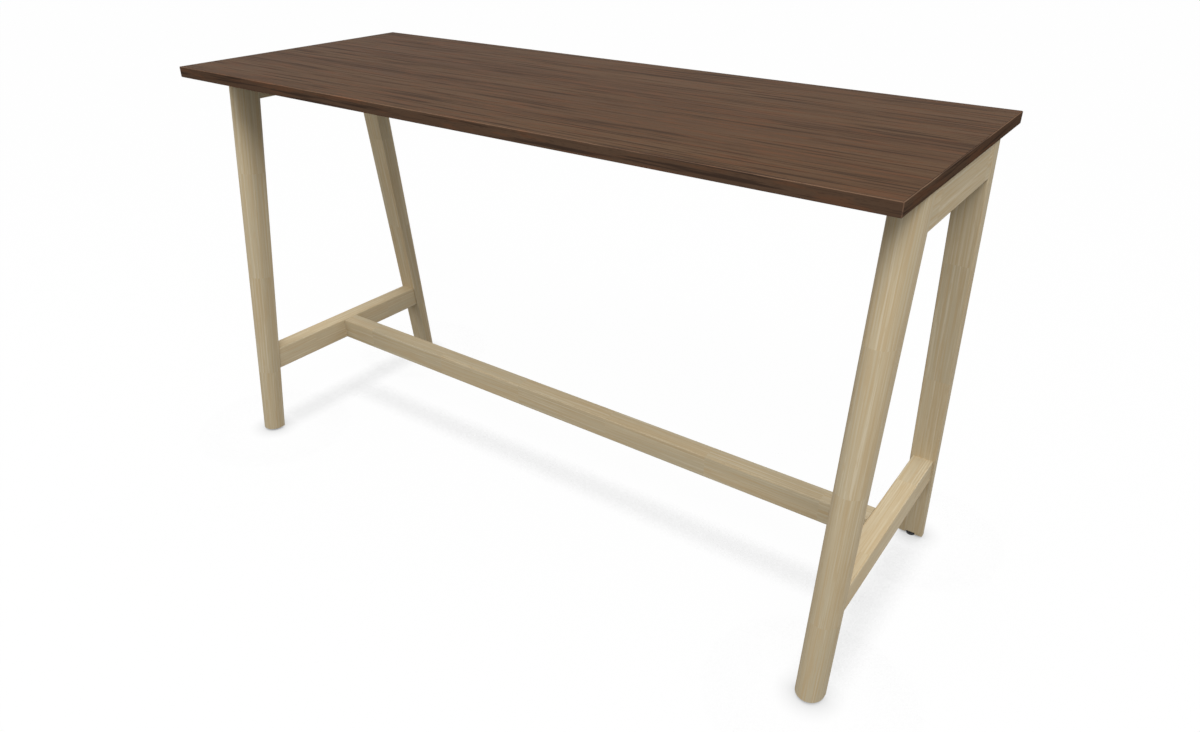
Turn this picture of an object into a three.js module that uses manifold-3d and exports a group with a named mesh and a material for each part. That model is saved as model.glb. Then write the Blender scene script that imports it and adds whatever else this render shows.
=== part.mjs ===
// A standing-height meeting table, in millimetres, +Z up, with the origin on the floor under its middle.
// A thick board with banded edges lies on two timber end frames. Each frame is two leaning, tapered legs
// with a rounded nose, held by a top rail and a low cross stretcher with mortise and tenon joints.
// A long stretcher bolts between the cross stretchers, two steel beams stiffen the board from below,
// and a levelling foot screws into the bottom of every leg.

import * as THREE from 'three';
import { mergeVertices } from 'three/addons/utils/BufferGeometryUtils.js';
import Module from 'manifold-3d';

// Board
const tableHeight = 1050;
const topLength = 1800;
const topDepth = 700;
const topThickness = 25;
const bandThickness = 2;
const bandArris = 1.8;

// Legs: reach is measured from the middle of the table to the outer line, at the floor and under the board
const legWidth = 60;
const legEndInset = 3;
const legFootInset = 6;
const legHeadInset = 111.6;
const legFootDepth = 44;
const legHeadDepth = 64.7;
const legNoseDepth = 32;
const legStand = 6;
const timberArris = 2.5;

// Top rails
const railHeight = 73;
const railReveal = 1;
const railTenonThickness = 20;
const railTenonHeight = 45;
const railTenonLength = 36;

// Stretchers
const stretcherBottom = 190;
const crossWidth = 48;
const crossHeight = 60;
const crossTenonThickness = 16;
const crossTenonHeight = 36;
const crossTenonLength = 28;
const longWidth = 48;
const longHeight = 58;

// Bolted joint at each end of the long stretcher
const studDiameter = 8;
const studGrip = 30;
const studSpare = 4;
const washerDiameter = 20;
const washerThickness = 2;
const nutAcrossFlats = 13;
const nutHeight = 6.5;
const pocketSetback = 18;
const pocketLength = 28;
const pocketWidth = 24;
const pocketHeadroom = 14;
const dowelDiameter = 8;
const dowelLength = 32;
const dowelSpread = 16;

// Steel beams under the board
const beamLegGap = 18.7;
const beamWidth = 50;
const beamHeight = 25;
const beamWall = 2;
const beamPlateWidth = 90;
const beamPlateHeight = 40;
const beamPlateThickness = 4;
const beamScrewSpread = 35;
const beamScrewDrop = 20;
const beamScrewLength = 30;
const boardScrewSpread = 450;
const boardScrewBite = 14;
const screwDiameter = 5;
const screwHeadDiameter = 10;
const screwHeadHeight = 3;
const screwAccessDiameter = 14;

// Bolts that hold the board on the rails in line with the beams, and their threaded inserts
const topBoltDiameter = 8;
const topBoltHeadDiameter = 13;
const topBoltHeadHeight = 6;
const topBoltCounterbore = 30;
const topBoltBite = 14;
const insertWall = 2;
const topInsertLength = 15;

// Levelling feet
const footSetback = 9.5;
const footScrewDiameter = 8;
const footScrewLength = 34;
const footInsertLength = 20;
const footNeckDiameter = 6;
const footBallDiameter = 9;
const footBallHeight = 1.6;
const padDiameter = 22;
const padHeight = 6.4;
const padFloor = 2;
const padArris = 0.8;
const collarAcrossFlats = 17;
const collarHeight = 4;

// Clearances
const glueLine = 0.2;
const socketFit = 0.3;
const runningFit = 0.3;
const slotFit = 0.5;
const cutPast = 1;

// Facets on round pieces
const roundSides = 12;
const hexSides = 6;
const arcSteps = 3;
const noseSteps = 16;

// Places that follow from the sizes above
const underside = tableHeight - topThickness;
const seat = underside - glueLine;
const frameX = topLength / 2 - legEndInset - legWidth / 2;
const railWidth = legWidth - 2 * railReveal;
const railBottom = seat - railHeight;
const stretcherMiddle = stretcherBottom + crossHeight / 2;
const crossInside = -crossWidth / 2;
const longEnd = frameX + crossInside - glueLine;
const beamSpread = legInner(seat) - beamLegGap - beamPlateWidth / 2;
const footY = topDepth / 2 - legFootInset - legFootDepth + footSetback;
const collarBottom = padHeight + runningFit;
const collarTop = collarBottom + collarHeight;
const slotCeiling = collarTop + runningFit;
const slotWidth = Math.max(padDiameter, acrossCorners(collarAcrossFlats)) + 2 * slotFit;

// Finishes
const walnut = new THREE.MeshStandardMaterial({ color: 0x604a3b, roughness: 0.55, metalness: 0 });
const walnutEdge = new THREE.MeshStandardMaterial({ color: 0x4b392c, roughness: 0.6, metalness: 0 });
const paleTimber = new THREE.MeshStandardMaterial({ color: 0xaf9f82, roughness: 0.6, metalness: 0 });
const beech = new THREE.MeshStandardMaterial({ color: 0xc9a77c, roughness: 0.7, metalness: 0 });
const blackNylon = new THREE.MeshStandardMaterial({ color: 0x1d1d1f, roughness: 0.5, metalness: 0 });
const blackSteel = new THREE.MeshStandardMaterial({ color: 0x2b2b2d, roughness: 0.45, metalness: 0.8 });
const zincSteel = new THREE.MeshStandardMaterial({ color: 0xa5a8ab, roughness: 0.35, metalness: 0.9 });

const wasm = await Module();
wasm.setup();

// Solids from three.js shapes

/** A closed geometry as a solid that can be joined and cut. */
function solid(geometry) {
  const bare = geometry.clone();
  bare.deleteAttribute('normal');
  bare.deleteAttribute('uv');
  const merged = mergeVertices(bare);
  const corners = merged.index.array;
  const triangles = [];
  for (let i = 0; i < corners.length; i += 3) {
    const [a, b, c] = [corners[i], corners[i + 1], corners[i + 2]];
    if (a !== b && b !== c && c !== a) {
      triangles.push(a, b, c);
    }
  }
  return new wasm.Manifold(new wasm.Mesh({
    numProp: 3,
    vertProperties: merged.attributes.position.array,
    triVerts: new Uint32Array(triangles),
  }));
}

/** The geometry of a solid that has been joined and cut. */
function geometryOf(body) {
  const { vertProperties, triVerts } = body.getMesh();
  const geometry = new THREE.BufferGeometry();
  geometry.setAttribute('position', new THREE.BufferAttribute(new Float32Array(vertProperties), 3));
  geometry.setIndex(new THREE.BufferAttribute(new Uint32Array(triVerts), 1));
  geometry.computeVertexNormals();
  return geometry;
}

/** A box between two corners. */
function block([x0, y0, z0], [x1, y1, z1]) {
  const box = new THREE.BoxGeometry(x1 - x0, y1 - y0, z1 - z0);
  box.translate((x0 + x1) / 2, (y0 + y1) / 2, (z0 + z1) / 2);
  return solid(box);
}

/** An upright round or many-sided rod from one height to another. */
function post(radius, [x, y], z0, z1, sides = roundSides) {
  const rod = new THREE.CylinderGeometry(radius, radius, z1 - z0, sides);
  rod.rotateX(Math.PI / 2);
  rod.translate(x, y, (z0 + z1) / 2);
  return solid(rod);
}

/** A level round or many-sided rod along X. */
function barX(radius, [y, z], x0, x1, sides = roundSides) {
  const rod = new THREE.CylinderGeometry(radius, radius, x1 - x0, sides);
  rod.rotateZ(-Math.PI / 2);
  rod.translate((x0 + x1) / 2, y, z);
  return solid(rod);
}

/** A shape drawn as (X, Y), drawn up from Z = 0, with its arcs cut into a number of steps. */
function drawnUp(shape, height, curveSegments) {
  return new THREE.ExtrudeGeometry(shape, { depth: height, bevelEnabled: false, curveSegments });
}

/** A shape drawn as (Y, Z), drawn out along X. */
function drawnAlongX(shape, x0, x1) {
  const body = drawnUp(shape, x1 - x0, arcSteps);
  const turn = new THREE.Matrix4();
  turn.makeBasis(new THREE.Vector3(0, 1, 0), new THREE.Vector3(0, 0, 1), new THREE.Vector3(1, 0, 0));
  body.applyMatrix4(turn);
  body.translate(x0, 0, 0);
  return solid(body);
}

/** A shape drawn as (Z, X), drawn out along Y. */
function drawnAlongY(shape, y0, y1) {
  const body = drawnUp(shape, y1 - y0, arcSteps);
  const turn = new THREE.Matrix4();
  turn.makeBasis(new THREE.Vector3(0, 0, 1), new THREE.Vector3(1, 0, 0), new THREE.Vector3(0, 1, 0));
  body.applyMatrix4(turn);
  body.translate(0, y0, 0);
  return solid(body);
}

/** A rectangle with rounded corners round the point (cx, cy). */
function roundedRectangle(width, height, radius, cx = 0, cy = 0) {
  const [left, right] = [cx - width / 2, cx + width / 2];
  const [low, high] = [cy - height / 2, cy + height / 2];
  const quarter = Math.PI / 2;
  const shape = new THREE.Shape();
  shape.moveTo(left + radius, low);
  shape.lineTo(right - radius, low);
  shape.absarc(right - radius, low + radius, radius, -quarter, 0);
  shape.lineTo(right, high - radius);
  shape.absarc(right - radius, high - radius, radius, 0, quarter);
  shape.lineTo(left + radius, high);
  shape.absarc(left + radius, high - radius, radius, quarter, 2 * quarter);
  shape.lineTo(left, low + radius);
  shape.absarc(left + radius, low + radius, radius, 2 * quarter, 3 * quarter);
  return shape;
}

/** A turned profile of [radius, height] points, round the Z axis. */
function turned(profile) {
  const points = profile.map(([radius, height]) => new THREE.Vector2(radius, height));
  const lathe = new THREE.LatheGeometry(points, roundSides);
  lathe.rotateX(Math.PI / 2);
  return solid(lathe);
}

/** Distance across the corners of a hexagon. */
function acrossCorners(acrossFlats) {
  return acrossFlats / Math.cos(Math.PI / 6);
}

/** A named piece. */
function piece(name, body, material) {
  const mesh = new THREE.Mesh(geometryOf(body), material);
  mesh.name = name;
  return mesh;
}

// Lines of the leaning legs, as Y against height

/** The tip of the leg's nose. */
function legOuter(z) {
  const foot = topDepth / 2 - legFootInset;
  const head = topDepth / 2 - legHeadInset;
  return foot + (head - foot) * z / underside;
}

/** The leg's flat inner face. */
function legInner(z) {
  return legOuter(z) - legFootDepth - (legHeadDepth - legFootDepth) * z / underside;
}

// Board: a panel inside four edge bands, all cut from one slab with softened edges

function slab() {
  const inset = bandArris;
  const outline = roundedRectangle(topLength - 2 * inset, topDepth - 2 * inset, glueLine);
  const body = new THREE.ExtrudeGeometry(outline, {
    depth: topThickness - 2 * inset,
    bevelThickness: inset,
    bevelSize: inset,
    bevelSegments: arcSteps,
    curveSegments: 1,
  });
  body.translate(0, 0, underside + inset);
  return solid(body);
}

function panel() {
  const halfLength = topLength / 2 - bandThickness - glueLine;
  const halfDepth = topDepth / 2 - bandThickness - glueLine;
  let body = block([-halfLength, -halfDepth, underside], [halfLength, halfDepth, tableHeight]);
  for (const sx of [-1, 1]) {
    for (const sy of [-1, 1]) {
      const insertRadius = topBoltDiameter / 2 + socketFit + insertWall + socketFit;
      const insertHole = underside + topInsertLength + 2 * socketFit;
      const boltPlace = [sx * frameX, sy * beamSpread];
      body = body.subtract(post(insertRadius, boltPlace, underside - cutPast, insertHole));
      const pilotHole = underside + boardScrewBite + socketFit;
      const screwPlace = [sx * boardScrewSpread, sy * beamSpread];
      body = body.subtract(post(screwDiameter / 2 + socketFit, screwPlace, underside - cutPast, pilotHole));
    }
  }
  return body;
}

function board() {
  const group = new THREE.Group();
  group.add(piece('tabletop_panel', panel(), walnut));
  const blank = slab();
  const [halfLength, halfDepth] = [topLength / 2, topDepth / 2];
  const [low, high] = [underside - cutPast, tableHeight + cutPast];
  const bandInside = halfDepth - bandThickness;
  const pastEnd = halfLength + cutPast;
  const long = block([-pastEnd, bandInside, low], [pastEnd, halfDepth + cutPast, high]);
  const endInside = halfLength - bandThickness;
  const endHalf = bandInside - glueLine;
  const short = block([endInside, -endHalf, low], [pastEnd, endHalf, high]);
  const bands = [
    ['rear_edge_band', long, 0],
    ['front_edge_band', long, Math.PI],
    ['right_edge_band', short, 0],
    ['left_edge_band', short, Math.PI],
  ];
  for (const [name, part, turn] of bands) {
    const band = piece(name, blank.intersect(part), walnutEdge);
    band.rotation.z = turn;
    group.add(band);
  }
  return group;
}

// End frame, drawn for the right-hand end: X runs outward, and the middle of the legs is at X = 0

/** A leg on the +Y side: a straight D-shaped bar whose two faces then follow the leg's lines. */
function legBlank() {
  const half = legWidth / 2;
  const arris = timberArris;
  const noseDepth = Math.min(legNoseDepth, legFootDepth - 2 * arris);
  const noseStart = legFootDepth - noseDepth;
  const section = new THREE.Shape();
  section.moveTo(-half + arris, 0);
  section.lineTo(half - arris, 0);
  section.absarc(half - arris, arris, arris, -Math.PI / 2, 0);
  section.lineTo(half, noseStart);
  section.absellipse(0, noseStart, half, noseDepth, 0, Math.PI);
  section.lineTo(-half, arris);
  section.absarc(-half + arris, arris, arris, Math.PI, Math.PI * 1.5);
  const bar = drawnUp(section, seat - legStand, noseSteps);
  const place = bar.attributes.position;
  const innerSide = (arris + noseStart) / 2;
  for (let i = 0; i < place.count; i += 1) {
    const z = place.getZ(i) + legStand;
    const fromInner = place.getY(i);
    const y = fromInner < innerSide ? legInner(z) + fromInner : legOuter(z) - legFootDepth + fromInner;
    place.setXYZ(i, place.getX(i), y, z);
  }
  return solid(bar);
}

/** A tenon's box on both sides of the frame, or its mortise when it is grown by a fit. */
function tenonBox(thickness, height, length, middle, fit = 0) {
  const end = legInner(middle) + length + fit;
  const halfThickness = thickness / 2 + fit;
  const halfHeight = height / 2 + fit;
  return block([-halfThickness, -end, middle - halfHeight], [halfThickness, end, middle + halfHeight]);
}

const railTenon = [railTenonThickness, railTenonHeight, railTenonLength, railBottom + railHeight / 2];
const crossTenon = [crossTenonThickness, crossTenonHeight, crossTenonLength, stretcherMiddle];

function leg() {
  const foot = [0, footY];
  const insertRadius = footScrewDiameter / 2 + runningFit + insertWall + socketFit;
  const insertTop = slotCeiling + footInsertLength + 2 * socketFit;
  const screwTop = collarTop + footScrewLength + slotFit;
  const slotLow = legStand - cutPast;
  const slotHalf = slotWidth / 2;
  const slotOpen = legInner(slotCeiling) - cutPast;
  return legBlank()
    .subtract(tenonBox(...railTenon, socketFit))
    .subtract(tenonBox(...crossTenon, socketFit))
    .subtract(block([-slotHalf, slotOpen, slotLow], [slotHalf, footY, slotCeiling]))
    .subtract(post(slotHalf, foot, slotLow, slotCeiling))
    .subtract(post(insertRadius, foot, slotLow, insertTop))
    .subtract(post(footScrewDiameter / 2 + slotFit, foot, slotLow, screwTop));
}

/** A rounded bar between the legs' inner faces, with a tenon at each end. */
function tenonedBar(width, height, bottom, tenon) {
  const [low, high] = [bottom - cutPast, bottom + height + cutPast];
  const reach = legInner(low);
  const bar = drawnAlongY(roundedRectangle(height, width, timberArris, bottom + height / 2), -reach, reach);
  const between = new THREE.Shape();
  between.moveTo(-legInner(low) + glueLine, low);
  between.lineTo(legInner(low) - glueLine, low);
  between.lineTo(legInner(high) - glueLine, high);
  between.lineTo(-legInner(high) + glueLine, high);
  return bar.intersect(drawnAlongX(between, -width, width)).add(tenonBox(...tenon));
}

const beamScrewZ = seat - beamScrewDrop;
const beamScrewYs = [-beamSpread, beamSpread].flatMap((y) => [y - beamScrewSpread, y + beamScrewSpread]);
const beamPlateInside = -railWidth / 2 - glueLine - beamPlateThickness;

function topRail() {
  let body = tenonedBar(railWidth, railHeight, railBottom, railTenon);
  const bearing = railBottom + topBoltCounterbore;
  for (const y of [-beamSpread, beamSpread]) {
    const headHole = topBoltHeadDiameter / 2 + 2 * socketFit;
    body = body.subtract(post(topBoltDiameter / 2 + socketFit, [0, y], railBottom, seat + cutPast));
    body = body.subtract(post(headHole, [0, y], railBottom - cutPast, bearing));
  }
  for (const y of beamScrewYs) {
    const end = beamPlateInside + beamScrewLength + socketFit;
    body = body.subtract(barX(screwDiameter / 2 + socketFit, [y, beamScrewZ], -railWidth, end));
  }
  return body;
}

function crossStretcher() {
  let body = tenonedBar(crossWidth, crossHeight, stretcherBottom, crossTenon);
  const studEnd = crossInside + studGrip + socketFit;
  body = body.subtract(barX(studDiameter / 2 + socketFit, [0, stretcherMiddle], -crossWidth, studEnd));
  for (const y of [-dowelSpread, dowelSpread]) {
    const end = crossInside + dowelLength / 2 + socketFit;
    body = body.subtract(barX(dowelDiameter / 2 + socketFit, [y, stretcherMiddle], -crossWidth, end));
  }
  return body;
}

// Levelling foot, on its own axis

function footPad() {
  const rim = padDiameter / 2;
  const neck = footNeckDiameter / 2 + runningFit;
  const socket = footBallDiameter / 2 + runningFit;
  const socketTop = padFloor + footBallHeight + 2 * runningFit;
  return turned([
    [0, 0],
    [rim - padArris, 0],
    [rim, padArris],
    [rim, padHeight - padArris],
    [rim - padArris, padHeight],
    [neck, padHeight],
    [neck, socketTop],
    [socket, socketTop],
    [socket, padFloor],
    [0, padFloor],
  ]);
}

function footScrew() {
  const thread = footScrewDiameter / 2;
  const ball = footBallDiameter / 2;
  const ballBottom = padFloor + runningFit;
  const ballTop = ballBottom + footBallHeight;
  const neck = footNeckDiameter / 2;
  const tip = collarTop + footScrewLength;
  const tipChamfer = thread / 4;
  const stem = turned([
    [0, ballBottom],
    [ball, ballBottom],
    [ball, ballTop],
    [neck, ballTop],
    [neck, collarBottom + collarHeight / 2],
    [thread, collarBottom + collarHeight / 2],
    [thread, tip - tipChamfer],
    [thread - tipChamfer, tip],
    [0, tip],
  ]);
  const collarRadius = acrossCorners(collarAcrossFlats) / 2;
  return stem.add(post(collarRadius, [0, 0], collarBottom, collarTop, hexSides));
}

/** A plain sleeve with a bore, standing on a given height. */
function insert(bore, bottom, length) {
  return post(bore + insertWall, [0, 0], bottom, bottom + length)
    .subtract(post(bore, [0, 0], bottom - cutPast, bottom + length + cutPast));
}

function levellingFoot(name) {
  const foot = new THREE.Group();
  foot.add(piece(`${name}_foot_pad`, footPad(), blackNylon));
  foot.add(piece(`${name}_foot_screw`, footScrew(), blackSteel));
  const sleeve = insert(footScrewDiameter / 2 + runningFit, slotCeiling + socketFit, footInsertLength);
  foot.add(piece(`${name}_foot_insert`, sleeve, zincSteel));
  return foot;
}

// Fasteners

/** A bolt up through the top rail, with its head in the counterbore. */
function topBolt() {
  const bearing = railBottom + topBoltCounterbore - glueLine;
  const head = post(topBoltHeadDiameter / 2, [0, 0], bearing - topBoltHeadHeight, bearing);
  const shankStart = bearing - topBoltHeadHeight / 2;
  return head.add(post(topBoltDiameter / 2, [0, 0], shankStart, underside + topBoltBite));
}

/** A screw through a beam's end plate into the rail. */
function beamScrew() {
  const bearing = beamPlateInside - glueLine;
  const head = barX(screwHeadDiameter / 2, [0, 0], bearing - screwHeadHeight, bearing);
  const shankStart = bearing - screwHeadHeight / 2;
  return head.add(barX(screwDiameter / 2, [0, 0], shankStart, beamPlateInside + beamScrewLength));
}

/** A screw inside a beam, up into the board. */
function boardScrew() {
  const bearing = seat - beamWall - glueLine;
  const head = post(screwHeadDiameter / 2, [0, 0], bearing - screwHeadHeight, bearing);
  return head.add(post(screwDiameter / 2, [0, 0], bearing - screwHeadHeight / 2, underside + boardScrewBite));
}

const pocketWall = crossInside - glueLine - pocketSetback;
const washerFace = pocketWall - glueLine;
const nutFace = washerFace - washerThickness - glueLine;

/** A threaded rod from the cross stretcher into the pocket of the long one. */
function stretcherStud() {
  const start = nutFace - nutHeight - studSpare;
  return barX(studDiameter / 2, [0, stretcherMiddle], start, crossInside + studGrip);
}

function stretcherWasher() {
  const at = [0, stretcherMiddle];
  const back = washerFace - washerThickness;
  return barX(washerDiameter / 2, at, back, washerFace)
    .subtract(barX(studDiameter / 2 + socketFit, at, back - cutPast, washerFace + cutPast));
}

function stretcherNut() {
  const at = [0, stretcherMiddle];
  const back = nutFace - nutHeight;
  return barX(acrossCorners(nutAcrossFlats) / 2, at, back, nutFace, hexSides)
    .subtract(barX(studDiameter / 2 + socketFit, at, back - cutPast, nutFace + cutPast));
}

function stretcherDowel() {
  const joint = crossInside - glueLine / 2;
  return barX(dowelDiameter / 2, [0, stretcherMiddle], joint - dowelLength / 2, joint + dowelLength / 2);
}

// One end of the table, with everything that its frame carries

const depthSides = [['front', -1], ['rear', 1]];

function endFrame(end, turn) {
  const frame = new THREE.Group();
  const facing = turn === 0 ? 1 : -1;
  frame.position.x = facing * frameX;
  frame.rotation.z = turn;
  frame.add(piece(`${end}_top_rail`, topRail(), paleTimber));
  frame.add(piece(`${end}_cross_stretcher`, crossStretcher(), paleTimber));
  frame.add(piece(`${end}_stretcher_stud`, stretcherStud(), zincSteel));
  frame.add(piece(`${end}_stretcher_washer`, stretcherWasher(), zincSteel));
  frame.add(piece(`${end}_stretcher_nut`, stretcherNut(), zincSteel));
  for (const [side, sign] of depthSides) {
    const towards = sign * facing;
    const legGroup = new THREE.Group();
    legGroup.rotation.z = towards > 0 ? 0 : Math.PI;
    legGroup.add(piece(`${side}_${end}_leg`, leg(), paleTimber));
    const foot = levellingFoot(`${side}_${end}`);
    foot.position.y = footY;
    legGroup.add(foot);
    frame.add(legGroup);

    const dowel = piece(`${side}_${end}_stretcher_dowel`, stretcherDowel(), beech);
    dowel.position.y = towards * dowelSpread;
    const bolt = piece(`${side}_${end}_top_bolt`, topBolt(), zincSteel);
    bolt.position.y = towards * beamSpread;
    const sleeve = insert(topBoltDiameter / 2 + socketFit, underside + socketFit, topInsertLength);
    const topInsert = piece(`${side}_${end}_top_insert`, sleeve, zincSteel);
    topInsert.position.y = towards * beamSpread;
    frame.add(dowel, bolt, topInsert);
    for (const [place, spread] of [['inner', -beamScrewSpread], ['outer', beamScrewSpread]]) {
      const screw = piece(`${side}_${end}_${place}_beam_screw`, beamScrew(), zincSteel);
      screw.position.y = towards * (beamSpread + spread);
      screw.position.z = beamScrewZ;
      frame.add(screw);
    }
  }
  return frame;
}

// Pieces that run from one end frame to the other

function longStretcher() {
  const shape = roundedRectangle(longWidth, longHeight, timberArris, 0, stretcherMiddle);
  let body = drawnAlongX(shape, -longEnd, longEnd);
  const pocketLow = stretcherMiddle - longHeight / 2 - cutPast;
  for (const sign of [-1, 1]) {
    const span = (from, to) => [sign * from, sign * to].sort((a, b) => a - b);
    const [p0, p1] = span(longEnd - pocketSetback - pocketLength, longEnd - pocketSetback);
    const [s0, s1] = span(longEnd - pocketSetback - cutPast, longEnd + cutPast);
    const [d0, d1] = span(longEnd - dowelLength / 2 - socketFit, longEnd + cutPast);
    const pocketTop = stretcherMiddle + pocketHeadroom;
    body = body
      .subtract(block([p0, -pocketWidth / 2, pocketLow], [p1, pocketWidth / 2, pocketTop]))
      .subtract(barX(studDiameter / 2 + socketFit, [0, stretcherMiddle], s0, s1))
      .subtract(barX(dowelDiameter / 2 + socketFit, [-dowelSpread, stretcherMiddle], d0, d1))
      .subtract(barX(dowelDiameter / 2 + socketFit, [dowelSpread, stretcherMiddle], d0, d1));
  }
  return body;
}

/** A rectangular tube with a welded plate at each end, open right through. */
function supportBeam() {
  const plateOut = frameX - railWidth / 2 - glueLine;
  const plateIn = plateOut - beamPlateThickness;
  const [halfWidth, halfPlate] = [beamWidth / 2, beamPlateWidth / 2];
  const tubeLow = seat - beamHeight;
  const boreHalf = halfWidth - beamWall;
  const boreEnd = plateOut + cutPast;
  const bore = block([-boreEnd, -boreHalf, tubeLow + beamWall], [boreEnd, boreHalf, seat - beamWall]);
  let body = block([-plateOut, -halfWidth, tubeLow], [plateOut, halfWidth, seat]);
  for (const [from, to] of [[-plateOut, -plateIn], [plateIn, plateOut]]) {
    body = body.add(block([from, -halfPlate, seat - beamPlateHeight], [to, halfPlate, seat]));
  }
  body = body.subtract(bore);
  for (const y of [-beamScrewSpread, beamScrewSpread]) {
    body = body.subtract(barX(screwDiameter / 2 + socketFit, [y, beamScrewZ], -boreEnd, boreEnd));
  }
  for (const x of [-boardScrewSpread, boardScrewSpread]) {
    body = body.subtract(post(screwDiameter / 2 + socketFit, [x, 0], seat - beamHeight / 2, seat + cutPast));
    body = body.subtract(post(screwAccessDiameter / 2, [x, 0], tubeLow - cutPast, seat - beamHeight / 2));
  }
  return body;
}

const table = new THREE.Group();
table.add(board());
table.add(endFrame('right', 0), endFrame('left', Math.PI));
table.add(piece('long_stretcher', longStretcher(), paleTimber));
for (const [side, sign] of depthSides) {
  const beam = piece(`${side}_support_beam`, supportBeam(), blackSteel);
  beam.position.y = sign * beamSpread;
  table.add(beam);
  for (const [end, facing] of [['right', 1], ['left', -1]]) {
    const screw = piece(`${side}_${end}_board_screw`, boardScrew(), zincSteel);
    screw.position.set(facing * boardScrewSpread, sign * beamSpread, 0);
    table.add(screw);
  }
}

export default table;
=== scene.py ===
"""Looks of a standing-height meeting table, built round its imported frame. Metres, +Z up."""

import math

import bmesh
import bpy
from bpy.props import FloatProperty, FloatVectorProperty, IntProperty, PointerProperty
from mathutils import Matrix, Vector


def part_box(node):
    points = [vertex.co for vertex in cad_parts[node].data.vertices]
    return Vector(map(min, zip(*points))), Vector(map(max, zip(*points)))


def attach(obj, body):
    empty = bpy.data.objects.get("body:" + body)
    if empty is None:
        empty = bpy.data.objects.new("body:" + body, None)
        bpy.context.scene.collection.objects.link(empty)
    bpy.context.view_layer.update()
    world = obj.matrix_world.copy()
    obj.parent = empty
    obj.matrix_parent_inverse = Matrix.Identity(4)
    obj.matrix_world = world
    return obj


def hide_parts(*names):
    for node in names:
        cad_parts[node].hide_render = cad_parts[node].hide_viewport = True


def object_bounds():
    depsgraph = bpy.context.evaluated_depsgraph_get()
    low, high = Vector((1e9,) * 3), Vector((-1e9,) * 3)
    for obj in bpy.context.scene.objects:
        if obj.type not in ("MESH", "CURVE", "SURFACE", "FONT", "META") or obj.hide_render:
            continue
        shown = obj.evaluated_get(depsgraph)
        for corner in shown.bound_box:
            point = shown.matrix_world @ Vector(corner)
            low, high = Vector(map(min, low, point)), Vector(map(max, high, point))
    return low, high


bl_info = {
    "name": "Standing meeting table",
    "version": (1, 0, 0),
    "blender": (4, 5, 0),
    "location": "3D View > Sidebar > Table",
    "description": "Dresses a standing meeting table: walnut board, pale timber frames, levelling feet",
    "category": "Object",
}

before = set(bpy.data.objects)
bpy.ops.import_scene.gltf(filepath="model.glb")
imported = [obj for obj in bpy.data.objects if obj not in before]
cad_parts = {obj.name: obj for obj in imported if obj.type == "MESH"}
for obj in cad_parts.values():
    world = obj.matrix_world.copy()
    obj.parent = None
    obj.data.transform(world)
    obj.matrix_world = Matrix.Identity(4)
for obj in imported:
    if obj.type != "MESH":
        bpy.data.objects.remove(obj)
CAD_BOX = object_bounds()

MM = 0.001
ENDS = (("left", -1), ("right", 1))
SIDES = (("front", -1), ("rear", 1))
CORNERS = tuple((f"{side}_{end}", x_sign, y_sign) for end, x_sign in ENDS for side, y_sign in SIDES)
TABLE = "table"
WHITE = (1.0, 1.0, 1.0)
NO_SHIFT = (0.0, 0.0, 0.0)

# Turns that lay a finish's grain along X and along Y
ALONG_X = (0.0, 0.0, 0.0)
ALONG_Y = (0.0, 0.0, -math.pi / 2)

# How far a cutter reaches past the face that it opens
OVERSHOOT = 5 * MM

# Points nearer than this are one point
SAME_POINT = 0.001 * MM

# Edges that turn more than this stay sharp in the shading
SHARP_ANGLE = math.radians(35)

# An M8 thread: its radii and its pitch
M8_CREST = 4 * MM
M8_ROOT = 3.35 * MM
M8_PITCH = 1.25 * MM

# Rays that the floor sends up at each point to find its shade
SHADE_RAYS = 8

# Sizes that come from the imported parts
BOARD_LOW, BOARD_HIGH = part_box("tabletop_panel")
LEG_LOW, LEG_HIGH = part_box("rear_right_leg")
RAIL_LOW, RAIL_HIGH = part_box("right_top_rail")
CROSS_LOW, CROSS_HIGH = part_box("right_cross_stretcher")
LONG_LOW, LONG_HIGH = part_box("long_stretcher")
PAD_LOW, PAD_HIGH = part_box("rear_right_foot_pad")
FOOT_SCREW_LOW, FOOT_SCREW_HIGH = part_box("rear_right_foot_screw")
FRAME_X = (LEG_LOW.x + LEG_HIGH.x) / 2
FOOT_Y = (PAD_LOW.y + PAD_HIGH.y) / 2


def srgb(red, green, blue):
    """A colour given as 0 to 255 on screen, as the linear colour that shaders take."""
    def channel(value):
        part = value / 255
        return part / 12.92 if part <= 0.04045 else ((part + 0.055) / 1.055) ** 2.4
    return channel(red), channel(green), channel(blue)


# Settings


def length(name, default, description):
    """A property for a length in metres."""
    return FloatProperty(name=name, description=description, default=default, min=0.0, precision=5,
                         subtype="DISTANCE", unit="LENGTH")


def tint(name, default, description):
    """A property for a colour."""
    return FloatVectorProperty(name=name, description=description, default=default, size=3,
                               min=0.0, max=1.0, subtype="COLOR")


def point(name, default, description):
    """A property for a point in metres."""
    return FloatVectorProperty(name=name, description=description, default=default, size=3,
                               subtype="TRANSLATION")


def angle(name, default, description):
    """A property for an angle, given in degrees."""
    return FloatProperty(name=name, description=description, default=math.radians(default),
                         subtype="ANGLE")


def power(name, default, description):
    """A property for a lamp's power in watts."""
    return FloatProperty(name=name, description=description, default=default, min=0.0, unit="POWER")


def share(name, default, description):
    """A property for a number without a unit."""
    return FloatProperty(name=name, description=description, default=default, min=0.0, precision=4)


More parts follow.
